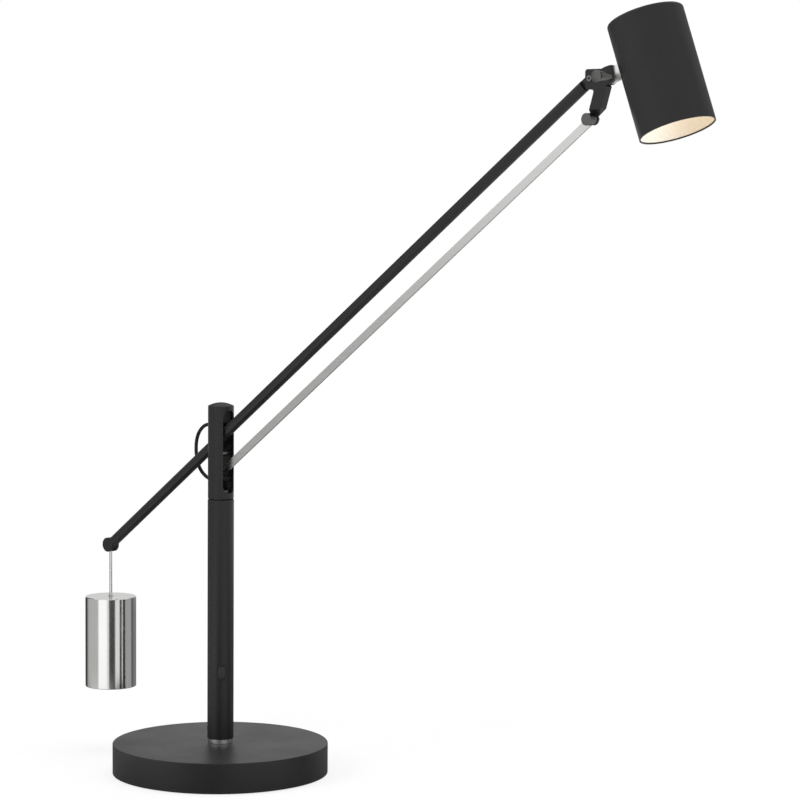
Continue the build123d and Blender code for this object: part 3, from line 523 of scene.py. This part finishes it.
bulb_mesh = bmesh.new()
ring = [bulb_mesh.verts.new((x, 0, z)) for x, z in outline]
edges = [bulb_mesh.edges.new(pair) for pair in zip(ring, ring[1:])]
bmesh.ops.spin(bulb_mesh, geom=ring + edges, cent=(0, 0, 0), axis=(0, 0, 1), angle=math.tau,
               steps=spin_steps, use_merge=True)
bmesh.ops.remove_doubles(bulb_mesh, verts=bulb_mesh.verts, dist=merge_within)
bmesh.ops.recalc_face_normals(bulb_mesh, faces=bulb_mesh.faces)
into_shade = Matrix.Translation(axis_start) @ Matrix.Rotation(-shade_tilt, 4, "Y")
bmesh.ops.transform(bulb_mesh, matrix=into_shade, verts=bulb_mesh.verts)
for face in bulb_mesh.faces:
    face.smooth = True
lit_bulb_data = bpy.data.meshes.new("lit_bulb")
bulb_mesh.to_mesh(lit_bulb_data)
bulb_mesh.free()
lit_bulb = bpy.data.objects.new("lit_bulb", lit_bulb_data)
bpy.context.scene.collection.objects.link(lit_bulb)
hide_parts("bulb_glass")
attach(lit_bulb, "shade")

lit_glass = Finish("lit_glass", Specular_IOR_Level=0.5)
frost_scale = 160
bulb_strength = 1.1
frost = lit_glass.noise(lit_glass.place(), frost_scale, 3.0)
frost_colour = lit_glass.blend(frost, (0.86, 0.84, 0.78, 1), (0.90, 0.88, 0.83, 1))
warm_light = lit_glass.blend(frost, (1.0, 0.84, 0.60, 1), (1.0, 0.88, 0.68, 1))
lit_glass.feed(lit_glass.shader.inputs["Base Color"], frost_colour)
lit_glass.feed(lit_glass.shader.inputs["Emission Color"], warm_light)
lit_glass.feed(lit_glass.shader.inputs["Roughness"], 0.16 + frost * 0.10)
lit_glass.shader.inputs["Emission Strength"].default_value = bulb_strength
lit_bulb.data.materials.append(lit_glass.material)
cap_metal = bare_metal("cap_metal", (0.62, 0.61, 0.56, 1), (0.74, 0.73, 0.68, 1), 0.26, 0.10, (400, 400, 400))
cap_metal.give("bulb_base")
print("bulb faces:", len(lit_bulb.data.polygons))

# %% [markdown]
# ## The floor
# The lamp stands on a white floor in front of nothing. The background is white because the floor and
# the world are white to the camera, and not because the lamp is flooded with light: Light Path tells
# which rays come from the camera or from a mirror. Near the lamp the floor is partly lit paint, which
# takes a faint shadow. Further off it is all white, so that no horizon shows. It lies a hair under
# the pad, because two faces in the same place flicker.

# %% The floor
floor_depth = 0.0002
floor_half_width = 6
floor_mesh = bmesh.new()
bmesh.ops.create_grid(floor_mesh, x_segments=1, y_segments=1, size=floor_half_width,
                      matrix=Matrix.Translation((0, 0, -floor_depth)))
floor_data = bpy.data.meshes.new("floor")
floor_mesh.to_mesh(floor_data)
floor_mesh.free()
floor = bpy.data.objects.new("floor", floor_data)
bpy.context.scene.collection.objects.link(floor)

floor_finish = Finish("floor_white", Base_Color=(0.90, 0.90, 0.90, 1), Roughness=0.9, Specular_IOR_Level=0.1)


def seen_directly(graph):
    """1 for rays that come from the camera, a mirror or clear glass, and 0 for the rest."""
    path = graph.node("LightPath")
    rays = ("Is Camera Ray", "Is Glossy Ray", "Is Transmission Ray")
    seen = [Amount(graph, path.outputs[name]) for name in rays]
    total = graph.node("Clamp", {}, {"Value": seen[0] + seen[1] + seen[2]})
    return Amount(graph, total.outputs[0])


white = floor_finish.node("Emission", {}, {"Color": (1, 1, 1, 1), "Strength": 1.0})
from_lamp = floor_finish.distance(floor_finish.place())
shadow_until, white_from = 0.25, 1.1
white_near_lamp = 0.80
own_white = floor_finish.between(from_lamp, shadow_until, white_from, white_near_lamp, 1.0)
floor_mix = floor_finish.node("MixShader", {}, {
    0: seen_directly(floor_finish) * own_white,
    1: Amount(floor_finish, floor_finish.shader.outputs[0]),
    2: Amount(floor_finish, white.outputs[0]),
})
floor_output = floor_finish.tree.nodes["Material Output"]
floor_finish.feed(floor_output.inputs[0], Amount(floor_finish, floor_mix.outputs[0]))
floor.data.materials.append(floor_finish.material)
print("floor is", 2 * floor_half_width, "m wide")

# %% [markdown]
# ## The world
# The world does two jobs. To the camera and to mirrors it is a plain white backdrop. To everything
# else it is a soft light from all sides, which is weaker, so that the paint stays dark.

# %% The world
world = bpy.data.worlds.new("studio")
world.use_nodes = True
bpy.context.scene.world = world
sky = Graph(world.node_tree)
soft_strength = 0.42
backdrop_strength = 1.0
soft_light = sky.node("Background", {}, {"Color": (1, 1, 1, 1), "Strength": soft_strength})
backdrop = sky.node("Background", {}, {"Color": (1, 1, 1, 1), "Strength": backdrop_strength})
sky_mix = sky.node("MixShader", {}, {
    0: seen_directly(sky),
    1: Amount(sky, soft_light.outputs[0]),
    2: Amount(sky, backdrop.outputs[0]),
})
sky.feed(sky.tree.nodes["World Output"].inputs[0], Amount(sky, sky_mix.outputs[0]))
print("world ready")

# %% [markdown]
# ## The reflection panels
# Bright steel shows whatever stands round it, so a photographer sets up dark, grey and bright
# panels, which draw the bands down the weight. Here each panel is a ring or a part of one, made by
# spinning one edge. A near ring leans away from the weight, and two far rings, one over the other,
# serve the rest: the upper one is brightest on the side that the bar mirrors near the knob. Two flat
# aprons just over the floor darken what the base and the weight would mirror of it. All of them are
# seen only in reflections.

# %% The reflection panels
panel_steps = 12


def panel(name, centre, start, end, lower, upper, grey):
    """A ring or part of one round centre, between two angles from the camera's direction.

    lower and upper are the distance and height of its lower and of its upper edge."""
    toward_camera = math.atan2(camera_place.y - centre.y, camera_place.x - centre.x)
    start_angle = toward_camera + math.radians(start)
    outward = Vector((math.cos(start_angle), math.sin(start_angle), 0))
    panel_mesh = bmesh.new()
    side = [panel_mesh.verts.new(centre + outward * distance + Vector((0, 0, height)))
            for distance, height in (lower, upper)]
    side_edge = panel_mesh.edges.new(side)
    bmesh.ops.spin(panel_mesh, geom=side + [side_edge], cent=centre, axis=(0, 0, 1),
                   angle=math.radians(end - start), steps=panel_steps)
    panel_data = bpy.data.meshes.new(name)
    panel_mesh.to_mesh(panel_data)
    panel_mesh.free()
    sheet = bpy.data.objects.new(name, panel_data)
    bpy.context.scene.collection.objects.link(sheet)
    panel_finish = Finish(name, Base_Color=(0, 0, 0, 1), Emission_Color=(1, 1, 1, 1),
                          Emission_Strength=grey, Specular_IOR_Level=0.0)
    sheet.data.materials.append(panel_finish.material)
    sheet.visible_camera = False
    sheet.visible_diffuse = False
    sheet.visible_shadow = False
    sheet.visible_transmission = False


weight_axis = Vector((-0.155, 0, 0))
post_axis = Vector((0, 0, 0))
near_ring = ((0.34, 0.001), (0.46, 0.14))
low_ring = ((1.2, 0.001), (1.2, 0.45))
high_ring = ((1.2, 0.50), (1.2, 1.3))
weight_bands = [(-170, -133, 0.06), (-121, -57, 0.60), (-56, -17, 1.42), (-8, 19, 0.07),
                (54, 66, 0.0), (66, 103, 0.46), (103, 122, 0.15)]
for number, (start, end, grey) in enumerate(weight_bands):
    panel(f"band_{number}", weight_axis, start, end, *near_ring, grey)
low_panels = [(-150, -112, 0.30), (-112, -57, 0.48)]
for number, (start, end, grey) in enumerate(low_panels):
    panel(f"low_{number}", post_axis, start, end, *low_ring, grey)
high_panels = [(-175, -130, 0.05), (-130, -112, 0.20), (-112, -80, 0.72), (-80, -57, 1.10),
               (60, 100, 0.60), (100, 140, 0.35), (140, 185, 0.35)]
for number, (start, end, grey) in enumerate(high_panels):
    panel(f"high_{number}", post_axis, start, end, *high_ring, grey)
panel("near_apron", post_axis, 0, 360, (0.104, 0.0005), (0.20, 0.0005), 0.26)
panel("back_apron", post_axis, 110, 250, (0.20, 0.0005), (1.2, 0.0005), 0.28)
print("ring panels:", len(weight_bands) + len(low_panels) + len(high_panels))

# %% [markdown]
# ## The lamps
# Three large soft lamps: one high on the left in front, which gives the paint its form, a weaker one
# on the right, and one from above. They are large, so that nothing has a hard shadow.

# %% The lamps
lamp_aim = Vector((0.1, 0, 0.4))


def softbox(name, place, size, power):
    """A square area lamp that faces the middle of the object."""
    lamp_data = bpy.data.lights.new(name, "AREA")
    lamp_data.shape = "SQUARE"
    lamp_data.size = size
    lamp_data.energy = power
    softbox_lamp = bpy.data.objects.new(name, lamp_data)
    aim = lamp_aim - Vector(place)
    softbox_lamp.matrix_world = Matrix.Translation(place) @ aim.to_track_quat("-Z", "Y").to_matrix().to_4x4()
    softbox_lamp.visible_glossy = False
    bpy.context.scene.collection.objects.link(softbox_lamp)


softbox("key", (-0.6, -2.6, 2.0), 1.6, 50)
softbox("fill", (2.6, 1.2, 1.4), 1.8, 8)
softbox("top", (0.2, 0.4, 2.8), 2.2, 46)

bpy.context.scene.view_settings.view_transform = "Standard"

# %% [markdown]
# ## The size
# The dressed lamp must stay as large as its solids. The script ends by bringing the scene up to date.

# %% The size
bpy.context.view_layer.update()
